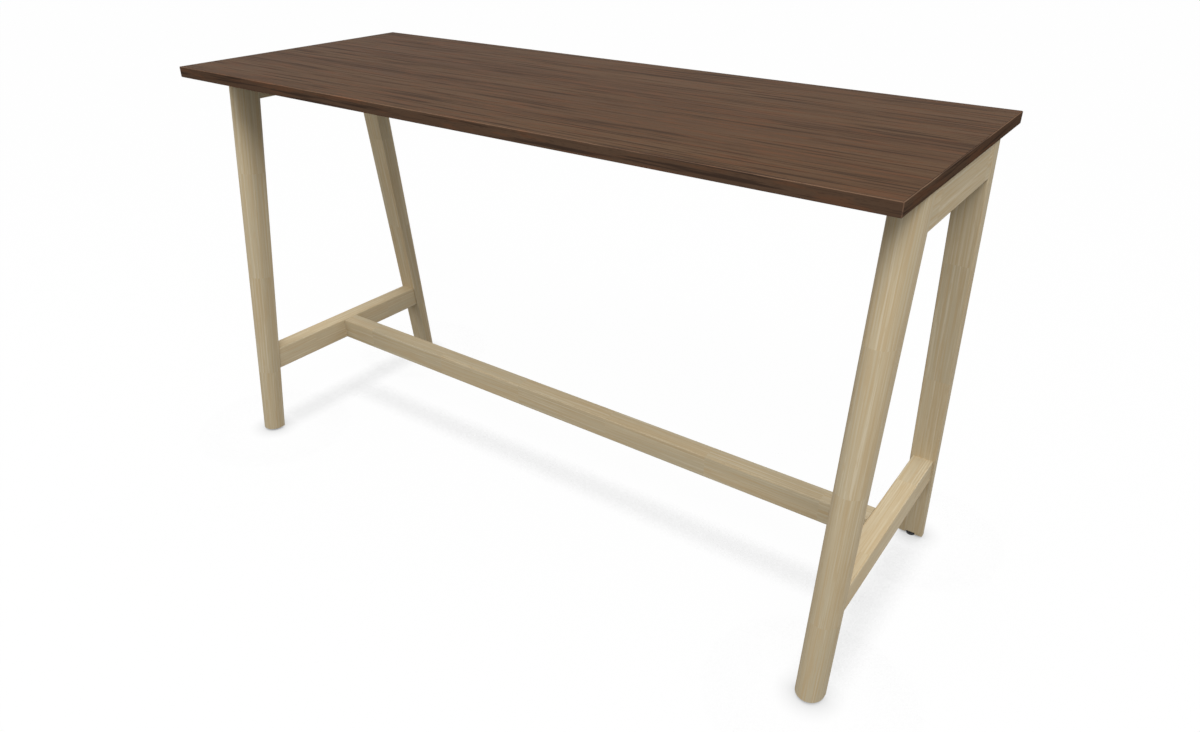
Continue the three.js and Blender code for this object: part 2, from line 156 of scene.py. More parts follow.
class BoardSettings(bpy.types.PropertyGroup):
    """The banded walnut board."""

    arris: length("Arris", 1.9 * MM, "Radius of the softened edges of the bands")
    seam: length("Seam", 0.15 * MM, "Softening of the panel's own edges, inside the bands")
    tone: tint("Walnut", srgb(81, 58, 40), "Main colour of the veneer")
    dark: tint("Dark figure", srgb(58, 42, 30), "Colour of the dark lines")
    light: tint("Light figure", srgb(90, 67, 47), "Colour of the light stretches")
    red: tint("Warm figure", srgb(95, 63, 41), "Colour of the reddish flecks")
    # Partly the bands' own colour and partly a painted reflection: it makes them paler and greyer, as a
    # lacquer's sheen would.
    edge_tint_and_painted_reflection: FloatVectorProperty(
        name="Edge tint", description="Colour of the edge bands as a share of the top's",
        default=(1.03, 1.17, 1.48), size=3, min=0.0)
    # Painted highlight: the bands' softened edges are coloured lighter, as if they caught the light.
    arris_painted_highlight: share("Arris lift", 2.0, "Brightness of the bands' softened edges against their faces")
    roughness: share("Roughness", 0.5, "Roughness of the satin lacquer")
    sheen: share("Sheen", 0.016, "Strength of the lacquer's reflection")


class TimberSettings(bpy.types.PropertyGroup):
    """The pale timber frames."""

    leg_foot_depth: length("Foot depth", 44.1 * MM, "Depth of a leg at its foot")
    leg_head_depth: length("Head depth", 64.7 * MM, "Depth of a leg under the board")
    nose_depth: length("Nose depth", 32 * MM, "Depth of the rounded outer side of a leg")
    nose_steps: IntProperty(name="Nose steps", description="Facets round a leg's nose", default=40, min=8)
    arris: length("Arris", 2.5 * MM, "Radius of the softened long edges")
    end_arris: length("End arris", 0.7 * MM, "Radius of the softened leg ends")
    tone: tint("Timber", srgb(199, 182, 150), "Main colour of the timber")
    warm: tint("Warm grain", srgb(191, 169, 133), "Colour of the warm grain lines")
    grey: tint("Grey grain", srgb(193, 179, 150), "Colour of the greyish streaks")
    pale: tint("Pale grain", srgb(209, 196, 169), "Colour of the pale lines")
    # Painted light: the cross stretchers are coloured lighter than the other timber, standing in for
    # light on them.
    cross_painted_light: share("Cross lift", 1.13, "Brightness of the cross stretchers against the other timber")
    stave: length("Stave", 0.29, "Length of the end-jointed staves")
    stave_start: length("Stave start", 0.137, "Length of stave before a piece's foot or middle")
    roughness: share("Roughness", 0.52, "Roughness of the clear satin finish")
    sheen: share("Sheen", 0.03, "Strength of the finish's reflection")


class FootSettings(bpy.types.PropertyGroup):
    """The levelling feet."""

    slot_width: length("Slot width", 23 * MM, "Width of the notch in a leg that lets a spanner in")
    slot_ceiling: length("Slot ceiling", 11 * MM, "Height of the notch above the floor")
    bore: length("Bore", 9 * MM, "Diameter of the hole in a leg above its threaded insert")
    insert_bore: length("Insert bore", 13.2 * MM, "Diameter of the hole for the threaded insert")
    insert_length: length("Insert length", 20.6 * MM, "Depth of the hole for the threaded insert")
    pad_arris: length("Pad arris", 1.2 * MM, "Radius of the pad's edges")
    pitch: length("Pitch", M8_PITCH, "Pitch of the levelling screw's thread")
    nylon: tint("Nylon", srgb(30, 30, 32), "Colour of the moulded pad")


class FastenerSettings(bpy.types.PropertyGroup):
    """Steel pieces under the board and inside the joints."""

    tube_corner: length("Tube corner", 3 * MM, "Outer corner radius of the beams' tube")
    tube_width: length("Tube width", 50 * MM, "Width of the beams' tube")
    tube_height: length("Tube height", 25 * MM, "Height of the beams' tube")
    tube_wall: length("Tube wall", 2 * MM, "Wall of the beams' tube")
    plate: length("Plate", 4 * MM, "Thickness of the beams' end plates")
    black: tint("Black coat", srgb(40, 40, 42), "Colour of the powder coat")
    zinc: tint("Zinc", srgb(176, 179, 182), "Colour of the plated steel")
    beech: tint("Beech", srgb(201, 167, 124), "Colour of the dowels")


class StageSettings(bpy.types.PropertyGroup):
    """Camera, floor and light."""

    lens: FloatProperty(
        name="Lens", description="Focal length on a 36 mm wide film", default=26.508, unit="CAMERA")
    camera: point("Camera", (1.252243, -1.582279, 1.446762), "Place of the camera")
    pitch: angle("Pitch", 61.294, "Camera's turn up from straight down")
    yaw: angle("Yaw", 35.59, "Camera's turn about the vertical")
    dome: share("Dome", 0.75, "Strength of the even light from all round")
    key: power("Key", 104.0, "Power of the high lamp at the right")
    key_place: point("Key place", (2.1, -2.4, 4.38), "Place of the high lamp at the right")
    fill: power("Fill", 29.0, "Power of the low lamp at the left")
    fill_place: point("Fill place", (-2.5, -3.25, 3.38), "Place of the low lamp at the left")
    lamp_size: length("Lamp size", 2.0, "Width of each lamp")
    floor: tint("Floor", (0.95, 0.95, 0.95), "Colour of the floor")
    bounce: tint("Bounce", (0.24, 0.24, 0.24), "Colour that the floor gives back to the table")
    shadow: share("Shadow", 0.03, "Share of the floor's look that takes the lamps' shadows")
    shade_spread: length("Shade spread", 44 * MM, "How far the stretchers' shade spreads")
    shade_depth: share("Shade depth", 0.17, "Depth of that soft shade")
    touch_reach: length("Touch reach", 0.05, "How near a foot the floor darkens")
    touch_depth: share("Touch depth", 0.5, "Depth of that narrow shade")
    floor_size: length("Floor size", 60.0, "Width of the floor")


class TableSettings(bpy.types.PropertyGroup):
    """All settings of the table."""

    board: PointerProperty(type=BoardSettings)
    timber: PointerProperty(type=TimberSettings)
    foot: PointerProperty(type=FootSettings)
    fastener: PointerProperty(type=FastenerSettings)
    stage: PointerProperty(type=StageSettings)


# Shading


class Wiring:
    """A node tree whose nodes are added and wired one by one."""

    def __init__(self, tree):
        self.tree = tree

    def feed(self, socket, value):
        """Links a socket to another one, or sets its value."""
        if isinstance(value, bpy.types.NodeSocket):
            self.tree.links.new(value, socket)
        elif socket.type == "RGBA":
            socket.default_value = (*value, 1.0)
        else:
            socket.default_value = value

    def node(self, kind, inputs=(), **settings):
        """Adds a node with its settings, and with inputs given as (socket, value) pairs."""
        made = self.tree.nodes.new("ShaderNode" + kind)
        for key, value in settings.items():
            setattr(made, key, value)
        for socket, value in inputs:
            self.feed(made.inputs[socket], value)
        return made

    def math(self, operation, first, second=0.0):
        return self.node("Math", ((0, first), (1, second)), operation=operation).outputs[0]

    def vector(self, operation, first, second=(0.0, 0.0, 0.0)):
        return self.node("VectorMath", ((0, first), (1, second)), operation=operation).outputs[0]

    def shader_mix(self, factor, first, second):
        return self.node("MixShader", ((0, factor), (1, first), (2, second))).outputs[0]

    def seen(self):
        """One for rays that see a surface, also by reflection or through glass, nought for the others."""
        rays = self.node("LightPath").outputs
        direct = self.math("MAXIMUM", rays["Is Camera Ray"], rays["Is Glossy Ray"])
        return self.math("MAXIMUM", direct, rays["Is Transmission Ray"])


class Finish(Wiring):
    """A material and its nodes."""

    def __init__(self, name, roughness, metallic=0.0):
        self.material = bpy.data.materials.new(name)
        self.material.use_nodes = True
        super().__init__(self.material.node_tree)
        self.shader = self.tree.nodes["Principled BSDF"]
        self.shader.inputs["Roughness"].default_value = roughness
        self.shader.inputs["Metallic"].default_value = metallic

    def noise(self, place, along, across, detail=2.0, roughness=0.5, distortion=0.0):
        """Noise from 0 to 1, with its own number of features per metre along the grain and across it."""
        stretched = self.vector("MULTIPLY", place, (along, across, across))
        inputs = (("Vector", stretched), ("Scale", 1.0), ("Detail", detail), ("Roughness", roughness),
                  ("Distortion", distortion))
        return self.node("TexNoise", inputs).outputs["Fac"]

    def step(self, value, low, high, to_low=0.0, to_high=1.0):
        """A smooth step of a value from one range to another."""
        inputs = (("Value", value), ("From Min", low), ("From Max", high), ("To Min", to_low),
                  ("To Max", to_high))
        return self.node("MapRange", inputs, interpolation_type="SMOOTHSTEP").outputs[0]

    def mix(self, factor, first, second, blend="MIX"):
        """A blend of two colours."""
        mixed = self.node("Mix", data_type="RGBA", blend_type=blend)
        for socket, value in ((0, factor), (6, first), (7, second)):
            self.feed(mixed.inputs[socket], value)
        return mixed.outputs[2]

    def stain(self, colour, tone, amount, grain, low, high):
        """Blends a tone into a colour, the more so the further a noise has gone from low to high."""
        return self.mix(self.step(grain, low, high, 0.0, amount), colour, tone)

    def place(self, turn=ALONG_X, shift=NO_SHIFT):
        """The piece's own coordinates, turned so that X runs along the grain."""
        own = self.node("TexCoord").outputs["Object"]
        return self.node("Mapping", (("Vector", own), ("Rotation", turn), ("Location", shift))).outputs[0]

    def finish(self, colour, roughness, height, depth, strength):
        """Feeds the shader its colour, roughness and bump, and returns the material."""
        bump = self.node("Bump", (("Strength", strength), ("Distance", depth), ("Height", height)))
        self.feed(self.shader.inputs["Base Color"], colour)
        self.feed(self.shader.inputs["Roughness"], roughness)
        self.feed(self.shader.inputs["Normal"], bump.outputs[0])
        return self.material


def walnut(name, settings, sheen=0.0, edge_tint_and_painted_reflection=WHITE, arris_painted_highlight=1.0, turn=ALONG_X, shift=NO_SHIFT):
    """Straight-grained walnut veneer under satin lacquer, with its grain along X once turned.

    Faces that look along no axis are the softened edges, which get a painted highlight: their colour is
    made lighter.
    """
    sway_width = 22 * MM
    look = Finish(name, settings.roughness)
    look.shader.inputs["Specular IOR Level"].default_value = sheen
    straight = look.place(turn, shift)
    wave = look.noise(straight, along=1.3, across=5, detail=1.0)
    sway = look.math("MULTIPLY", look.math("SUBTRACT", wave, 0.5), sway_width)
    sideways = look.node("CombineXYZ", (("Y", sway), ("Z", sway))).outputs[0]
    grain = look.vector("ADD", straight, sideways)
    broad = look.noise(grain, along=1.0, across=14, detail=3.0, roughness=0.6)
    lines = look.noise(grain, along=3.2, across=125, detail=3.0, roughness=0.6)
    flecks = look.noise(grain, along=9, across=80, detail=3.0, roughness=0.6)
    pores = look.noise(grain, along=60, across=900, detail=1.0)
    colour = look.stain(settings.tone, settings.light, 1.0, broad, low=0.35, high=0.65)
    colour = look.stain(colour, settings.red, 0.75, flecks, low=0.5, high=0.62)
    colour = look.stain(colour, settings.dark, 0.9, lines, low=0.48, high=0.36)
    colour = look.stain(colour, settings.dark, 0.45, pores, low=0.42, high=0.3)
    # Painted highlight: faces that look along no axis, the softened edges, are coloured lighter.
    facing = look.vector("ABSOLUTE", look.node("NewGeometry").outputs["True Normal"])
    sides = look.node("SeparateXYZ", (("Vector", facing),)).outputs
    straightest = look.math("MAXIMUM", look.math("MAXIMUM", sides["X"], sides["Y"]), sides["Z"])
    brightness = look.step(straightest, 0.9, 0.99, arris_painted_highlight, 1.0)
    # The edge tint is partly the bands' own colour and partly a painted reflection.
    colour = look.vector("MULTIPLY", look.vector("MULTIPLY", colour, edge_tint_and_painted_reflection), brightness)
    rough = look.step(lines, 0.3, 0.7, settings.roughness + 0.05, settings.roughness - 0.03)
    return look.finish(colour, rough, look.math("ADD", lines, pores), depth=0.05 * MM, strength=0.25)


def pale_timber(name, settings, turn, seed, painted_lift=1.0):
    """Pale, fine-grained timber in end-jointed staves, with its grain along X once turned.

    The seed gives each piece its own staves, and each stave has its own grain and brightness. A lift
    above one makes the whole piece lighter, as painted light.
    """
    brightness_spread = 0.022
    grain_jump = (3.0, 1.0, 1.0)
    seed_jump = 7.31
    look = Finish(name, settings.roughness)
    look.shader.inputs["Specular IOR Level"].default_value = settings.sheen
    straight = look.place(turn, (settings.stave_start, 0.0, 0.0))
    along = look.node("SeparateXYZ", (("Vector", straight),)).outputs["X"]
    stave = look.math("FLOOR", look.math("DIVIDE", along, settings.stave))
    number = look.math("ADD", stave, seed * seed_jump)
    chance = look.node("TexWhiteNoise", (("W", number),), noise_dimensions="1D")
    jump = look.vector("MULTIPLY", chance.outputs["Color"], grain_jump)
    shifted = look.vector("ADD", straight, jump)
    broad = look.noise(shifted, along=0.9, across=24, distortion=0.3)
    streaks = look.noise(shifted, along=1.8, across=230, detail=3.0, roughness=0.6, distortion=0.2)
    lines = look.noise(shifted, along=6.0, across=270, roughness=0.6)
    flecks = look.noise(shifted, along=24, across=340, detail=1.0)
    colour = look.stain(settings.grey, settings.tone, 1.0, broad, low=0.35, high=0.65)
    colour = look.stain(colour, settings.warm, 0.75, streaks, low=0.5, high=0.64)
    colour = look.stain(colour, settings.pale, 0.75, streaks, low=0.47, high=0.34)
    colour = look.stain(colour, settings.warm, 0.8, lines, low=0.5, high=0.66)
    colour = look.stain(colour, settings.warm, 0.6, flecks, low=0.6, high=0.72)
    # Each stave's tone differs at random; the lift adds painted light to the whole piece.
    brightness = look.step(chance.outputs["Value"], 0.0, 1.0, painted_lift - brightness_spread,
                           painted_lift + brightness_spread)
    grey = look.node("CombineColor", (("Red", brightness), ("Green", brightness), ("Blue", brightness)))
    colour = look.mix(1.0, colour, grey.outputs[0], "MULTIPLY")
    rough = look.step(lines, 0.3, 0.7, settings.roughness - 0.04, settings.roughness + 0.06)
    return look.finish(colour, rough, look.math("ADD", lines, flecks), depth=0.04 * MM, strength=0.2)


def speckled(name, colour, roughness, grains, spread, metallic=0.0):
    """A plain finish with a fine, even unevenness in its colour, gloss and surface."""
    look = Finish(name, roughness, metallic)
    place = look.place()
    fine = look.noise(place, along=grains, across=grains)
    cloudy = look.noise(place, along=40, across=40)
    darker = tuple(channel * (1 - spread) for channel in colour)
    lighter = tuple(min(1.0, channel * (1 + spread)) for channel in colour)
    tone = look.mix(look.step(cloudy, 0.3, 0.7), darker, lighter)
    rough = look.step(fine, 0.3, 0.7, roughness - 0.06, roughness + 0.08)
    return look.finish(tone, rough, fine, depth=0.05 * MM, strength=0.25)


# Modelling


def block(low, high):
    """A box between two corners."""
    bm = bmesh.new()
    bmesh.ops.create_cube(bm, size=1.0)
    bmesh.ops.scale(bm, vec=Vector(high) - Vector(low), verts=bm.verts)
    bmesh.ops.translate(bm, vec=(Vector(low) + Vector(high)) / 2, verts=bm.verts)
    return bm


def rod(radius, low, high, place=(0.0, 0.0), sides=32):
    """An upright round bar between two heights."""
    bm = bmesh.new()
    bmesh.ops.create_cone(bm, cap_ends=True, segments=sides, radius1=radius, radius2=radius,
                          depth=high - low)
    bmesh.ops.translate(bm, vec=(*place, (low + high) / 2), verts=bm.verts)
    return bm


def hexagon(across, low, high):
    """An upright six-sided bar between two heights, given its width across flats."""
    return rod(across / 2 / math.cos(math.pi / 6), low, high, sides=6)


def soften(bm, edges, radius, segments=4):
    """Rounds edges to a radius."""
    bmesh.ops.bevel(bm, geom=list(edges), offset=radius, offset_type="OFFSET", segments=segments,
                    profile=0.5, affect="EDGES", clamp_overlap=True, material=-1)


def edges_along(bm, axis):
    """Edges that run mostly along an axis, numbered 0 to 2."""
    found = []
    for edge in bm.edges:
        run = edge.verts[1].co - edge.verts[0].co
        if abs(run[axis]) > 0.9 * run.length:
            found.append(edge)
    return found


def quarter_round(centre, size, start, steps=4):
    """Points of a quarter of an oval about a (radius, height) centre, from an angle in degrees."""
    points = []
    for step in range(steps + 1):
        turn = math.radians(start + 90 * step / steps)
        points.append((centre[0] + size[0] * math.cos(turn), centre[1] + size[1] * math.sin(turn)))
    return points


def thread(low, high, pitch, turn):
    """Points of a thread, from one turn's (radius, share of the pitch) points, up to a height."""
    points = []
    while low < high:
        points += [(radius, low + part * pitch) for radius, part in turn]
        low += pitch
    return points


def spun(profile, steps=48):
    """A closed turned shape from (radius, height) points that start and end on the Z axis."""
    bm = bmesh.new()
    points = [bm.verts.new((radius, 0.0, height)) for radius, height in profile]
    for first, second in zip(points, points[1:]):
        bm.edges.new((first, second))
    bmesh.ops.spin(bm, geom=bm.verts[:] + bm.edges[:], cent=(0, 0, 0), axis=(0, 0, 1), angle=2 * math.pi,
                   steps=steps, use_merge=True)
    bmesh.ops.remove_doubles(bm, verts=bm.verts, dist=SAME_POINT)
    bmesh.ops.recalc_face_normals(bm, faces=bm.faces)
    return bm


def joined(*shapes):
    """Several shapes in one mesh."""
    whole = shapes[0]
    for shape in shapes[1:]:
        scrap = bpy.data.meshes.new("scrap")
        shape.to_mesh(scrap)
        whole.from_mesh(scrap)
        shape.free()
        bpy.data.meshes.remove(scrap)
    return whole


def mesh_of(bm, name):
    """A mesh from a shape, which is then freed."""
    mesh = bpy.data.meshes.new(name)
    bm.to_mesh(mesh)
    bm.free()
    return mesh


def cut(bm, *cutters):
    """A shape with other shapes cut out of it, which are then freed."""
    collection = bpy.context.scene.collection
    target = bpy.data.objects.new("cut target", mesh_of(bm, "cut target"))
    tools = [bpy.data.objects.new("cutter", mesh_of(cutter, "cutter")) for cutter in cutters]
    for made in (target, *tools):
        collection.objects.link(made)
    for tool in tools:
        modifier = target.modifiers.new("Cut", "BOOLEAN")
        modifier.operation = "DIFFERENCE"
        modifier.solver = "EXACT"
        modifier.object = tool
    result = bmesh.new()
    result.from_object(target, bpy.context.evaluated_depsgraph_get())
    for made in (target, *tools):
        mesh = made.data
        bpy.data.objects.remove(made)
        bpy.data.meshes.remove(mesh)
    bmesh.ops.remove_doubles(result, verts=result.verts, dist=SAME_POINT)
    return result


def moved(bm, matrix):
    """A shape after a move or a turn."""
    bmesh.ops.transform(bm, matrix=matrix, verts=bm.verts)
    return bm


def add_piece(name, bm, material, body, node):
    """Puts a finished shape in the scene, riding on a body in place of its CAD node."""
    mesh = mesh_of(bm, name)
    mesh.shade_smooth()
    mesh.set_sharp_from_angle(angle=SHARP_ANGLE)
    mesh.materials.append(material)
    made = bpy.data.objects.new(name, mesh)
    bpy.context.scene.collection.objects.link(made)
    even = made.modifiers.new("Even shading", "WEIGHTED_NORMAL")
    even.keep_sharp = True
    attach(made, body)
    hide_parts(node)


def coat_node(node, material):
    """Gives a CAD node that stays in view its finish."""
    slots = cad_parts[node].data.materials
    slots.clear()
    slots.append(material)


# Lines of the leaning legs


def leg_lines(settings, z):
    """The Y of a rear leg's flat inner face and of the tip of its nose, at a height."""
    up = (z - LEG_LOW.z) / (LEG_HIGH.z - LEG_LOW.z)
    inner_foot = LEG_HIGH.y - settings.leg_foot_depth
    outer_head = LEG_LOW.y + settings.leg_head_depth
    inner = inner_foot + (LEG_LOW.y - inner_foot) * up
    outer = LEG_HIGH.y + (outer_head - LEG_HIGH.y) * up
    return inner, outer


def leg_outline(settings):
    """A leg's D-shaped outline at its foot, lying flat with its inner side on Y = 0."""
    half = (LEG_HIGH.x - LEG_LOW.x) / 2
    nose_start = settings.leg_foot_depth - settings.nose_depth
    bm = bmesh.new()
    start = bm.verts.new((half, nose_start, 0.0))
    bmesh.ops.spin(bm, geom=[start], cent=(0, nose_start, 0), axis=(0, 0, 1), angle=math.pi,
                   steps=settings.nose_steps)
    bmesh.ops.scale(bm, vec=(1, settings.nose_depth / half, 1), verts=bm.verts,
                    space=Matrix.Translation((0, -nose_start, 0)))
    bm.verts.ensure_lookup_table()
    end = min(bm.verts, key=lambda vert: vert.co.x)
    inner = [bm.verts.new((-half, 0, 0)), bm.verts.new((half, 0, 0))]
    for pair in ((end, inner[0]), inner, (inner[1], start)):
        bm.edges.new(pair)
    bmesh.ops.contextual_create(bm, geom=bm.edges[:])
    bmesh.ops.bevel(bm, geom=inner, offset=settings.arris, segments=4, profile=0.5,
                    affect="VERTICES", material=-1)
    return bm


def foot_cutters(settings, foot):
    """The notch for a spanner and the holes for the levelling screw, for a rear leg at X = 0."""
    place = (0.0, FOOT_Y)
    below = LEG_LOW.z - OVERSHOOT
    mouth = leg_lines(settings, LEG_LOW.z)[0] - OVERSHOOT
    half_slot = foot.slot_width / 2
    slot = block((-half_slot, mouth, below), (half_slot, FOOT_Y, foot.slot_ceiling))
    slot_end = rod(half_slot, below, foot.slot_ceiling, place)
    insert_hole = rod(foot.insert_bore / 2, below, foot.slot_ceiling + foot.insert_length, place)
    screw_hole = rod(foot.bore / 2, below, FOOT_SCREW_HIGH.z + MM, place)
    return slot, slot_end, insert_hole, screw_hole


def leg_shape(settings, foot):
    """A rear leg standing at X = 0: a D-shaped bar whose faces follow the leg's lines."""
    bm = leg_outline(settings)
    grown = bmesh.ops.extrude_face_region(bm, geom=bm.faces[:])
    top = [item for item in grown["geom"] if isinstance(item, bmesh.types.BMVert)]
    bmesh.ops.translate(bm, vec=(0, 0, LEG_HIGH.z - LEG_LOW.z), verts=top)
    depth = settings.leg_foot_depth
    middle = (settings.arris + depth - settings.nose_depth) / 2
    for vert in bm.verts:
        vert.co.z += LEG_LOW.z
        inner_line, outer_line = leg_lines(settings, vert.co.z)
        vert.co.y += inner_line if vert.co.y < middle else outer_line - depth
    bmesh.ops.recalc_face_normals(bm, faces=bm.faces)
    foot_edges = [edge for edge in bm.edges if all(vert.co.z < LEG_LOW.z + MM for vert in edge.verts)]
    soften(bm, foot_edges, settings.end_arris, segments=2)
    return cut(bm, *foot_cutters(settings, foot))


def cross_bar(settings, low, high):
    """A bar along Y between the inner faces of a frame's legs, at X = 0, with softened long edges."""
    half = (high.x - low.x) / 2
    bm = block((-half, -1, low.z), (half, 1, high.z))
    for vert in bm.verts:
        vert.co.y *= leg_lines(settings, vert.co.z)[0]
    soften(bm, edges_along(bm, 1), settings.arris)
    return bm


# Operators


class TABLE_OT_stage(bpy.types.Operator):
    """Adds the camera, the pale floor and the soft studio light"""

    bl_idname = "meeting_table.stage"
    bl_label = "Stage"

    def execute(self, context):
        settings = context.scene.meeting_table.stage
        self.add_camera(context.scene, settings)
        self.add_floor(context.scene, settings)
        self.add_world(context.scene, settings)
        self.add_lamps(context.scene, settings)
        context.scene.view_settings.view_transform = "Standard"
        return {"FINISHED"}

    def add_camera(self, scene, settings):
        data = bpy.data.cameras.new("Camera")
        data.sensor_width = 36
        data.lens = settings.lens
        data.clip_end = 200
        camera = bpy.data.objects.new("Camera", data)
        camera.location = settings.camera
        camera.rotation_euler = (settings.pitch, 0, settings.yaw)
        scene.collection.objects.link(camera)
        scene.camera = camera

    def add_floor(self, scene, settings):
        look = Finish("Pale floor", roughness=0.9)
        look.shader.inputs["Specular IOR Level"].default_value = 0.0
        look.feed(look.shader.inputs["Base Color"], settings.floor)
        glow = look.node("Emission", (("Color", WHITE), ("Strength", self.shade(look, settings))))
        pale = look.shader_mix(settings.shadow, glow.outputs[0], look.shader.outputs[0])
        dim = look.node("BsdfDiffuse", (("Color", settings.bounce),))
        whole = look.shader_mix(look.seen(), dim.outputs[0], pale)
        look.feed(look.tree.nodes["Material Output"].inputs["Surface"], whole)
        bm = bmesh.new()
        bmesh.ops.create_grid(bm, x_segments=1, y_segments=1, size=settings.floor_size / 2)
        mesh = mesh_of(bm, "Floor")
        mesh.materials.append(look.material)
        floor = bpy.data.objects.new("Floor", mesh)
        scene.collection.objects.link(floor)

    def shade(self, look, settings):
        """The floor's brightness: it darkens close to the feet, and softly under the stretchers.

        The floor looks up to three distances. The nearest finds the feet. What lies between the other two
        is the underside of a stretcher, straight above or a little to the side.
        """
        far = math.hypot(LONG_LOW.z, settings.shade_spread)
        widest = 1.0 - (LONG_LOW.z / far) ** 2
        open_rim, open_low, open_far = (
            look.node("AmbientOcclusion", (("Distance", reach),), samples=SHADE_RAYS).outputs["AO"]
            for reach in (settings.touch_reach, LONG_LOW.z - MM, far))
        covered = look.math("SUBTRACT", open_low, open_far)
        loss = look.math("MULTIPLY", covered, settings.shade_depth / widest)
        touch = look.math("POWER", open_rim, settings.touch_depth)
        return look.math("MULTIPLY", look.math("SUBTRACT", 1.0, loss), touch)

    def add_world(self, scene, settings):
        scene.world = bpy.data.worlds.new("Studio")
        scene.world.use_nodes = True
        sky = Wiring(scene.world.node_tree)
        lit = sky.tree.nodes["Background"]
        sky.feed(lit.inputs["Color"], WHITE)
        sky.feed(lit.inputs["Strength"], settings.dome)
        white = sky.node("Background", (("Color", WHITE), ("Strength", 1.0)))
        whole = sky.shader_mix(sky.seen(), lit.outputs[0], white.outputs[0])
        sky.feed(sky.tree.nodes["World Output"].inputs["Surface"], whole)

    def add_lamps(self, scene, settings):
        middle = (CAD_BOX[0] + CAD_BOX[1]) / 2
        lamps = (("Key", settings.key, settings.key_place), ("Fill", settings.fill, settings.fill_place))
        for name, watts, place in lamps:
            data = bpy.data.lights.new(name, "AREA")
            data.shape = "DISK"
            data.size = settings.lamp_size
            data.energy = watts
            lamp = bpy.data.objects.new(name, data)
            lamp.location = place
            aim = middle - lamp.location
            lamp.rotation_euler = aim.to_track_quat("-Z", "Y").to_euler()
            scene.collection.objects.link(lamp)


class TABLE_OT_board(bpy.types.Operator):
    """Finishes the panel and adds its four edge bands"""

    bl_idname = "meeting_table.board"
    bl_label = "Board"

    def execute(self, context):
        settings = context.scene.meeting_table.board
        top = walnut("Walnut top", settings, sheen=settings.sheen)
        panel = block(BOARD_LOW, BOARD_HIGH)
        soften(panel, panel.edges, settings.seam, segments=1)
        add_piece("board_panel", panel, top, TABLE, "tabletop_panel")
        turns = {"front": ALONG_X, "rear": ALONG_X, "left": ALONG_Y, "right": ALONG_Y}
        # How much further on in the veneer each band is cut than the one before
        next_cut = (1.3, 0.37, 0.11)
        for number, (side, turn) in enumerate(turns.items()):
            shift = tuple(step * number for step in next_cut)
            # Each band gets a painted highlight on its softened edges and a tint that is partly painted
            # reflection.
            look = walnut(f"Walnut {side} edge", settings, edge_tint_and_painted_reflection=settings.edge_tint_and_painted_reflection,
                          arris_painted_highlight=settings.arris_painted_highlight, turn=turn, shift=shift)
            low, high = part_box(f"{side}_edge_band")
            band = block(low, high)
            soften(band, self.outer_edges(band), settings.arris)
            add_piece(f"{side}_band", band, look, TABLE, f"{side}_edge_band")
        return {"FINISHED"}

    def outer_edges(self, band):
        """Edges on the board's outline: those of a band that lie on the outer box."""
        near = 0.1 * MM
        low, high = CAD_BOX
        faces = ((0, low.x), (0, high.x), (1, low.y), (1, high.y), (2, BOARD_LOW.z), (2, BOARD_HIGH.z))
        found = []
        for edge in band.edges:
            on_faces = 0
            for axis, limit in faces:
                on_faces += all(abs(vert.co[axis] - limit) < near for vert in edge.verts)
            if on_faces >= 2 and not self.against_panel(edge):
                found.append(edge)
        return found

    def against_panel(self, edge):
        """Whether an edge touches the panel's outline instead of the outer one."""
        middle = (edge.verts[0].co + edge.verts[1].co) / 2
        inside_x = BOARD_LOW.x - MM < middle.x < BOARD_HIGH.x + MM
        inside_y = BOARD_LOW.y - MM < middle.y < BOARD_HIGH.y + MM
        return inside_x and inside_y


class TABLE_OT_legs(bpy.types.Operator):
    """Adds the four leaning, round-nosed legs"""

    bl_idname = "meeting_table.legs"
    bl_label = "Legs"

    def execute(self, context):
        settings = context.scene.meeting_table.timber
        foot = context.scene.meeting_table.foot
        inner_foot, outer_foot = leg_lines(settings, LEG_LOW.z)
        inner_head, outer_head = leg_lines(settings, LEG_HIGH.z)
        run = (inner_foot + outer_foot - inner_head - outer_head) / 2
        lean = math.atan2(run, LEG_HIGH.z - LEG_LOW.z)
        for seed, (corner, x_sign, y_sign) in enumerate(CORNERS, 1):
            shape = leg_shape(settings, foot)
            turn = Matrix.Rotation(math.pi if y_sign < 0 else 0.0, 4, "Z")
            moved(shape, Matrix.Translation((x_sign * FRAME_X, 0, 0)) @ turn)
            grain = (-y_sign * lean, math.pi / 2, 0.0)
            look = pale_timber(f"Timber {corner.replace('_', ' ')} leg", settings, grain, seed)
            add_piece(f"{corner}_leg_post", shape, look, TABLE, f"{corner}_leg")
        return {"FINISHED"}


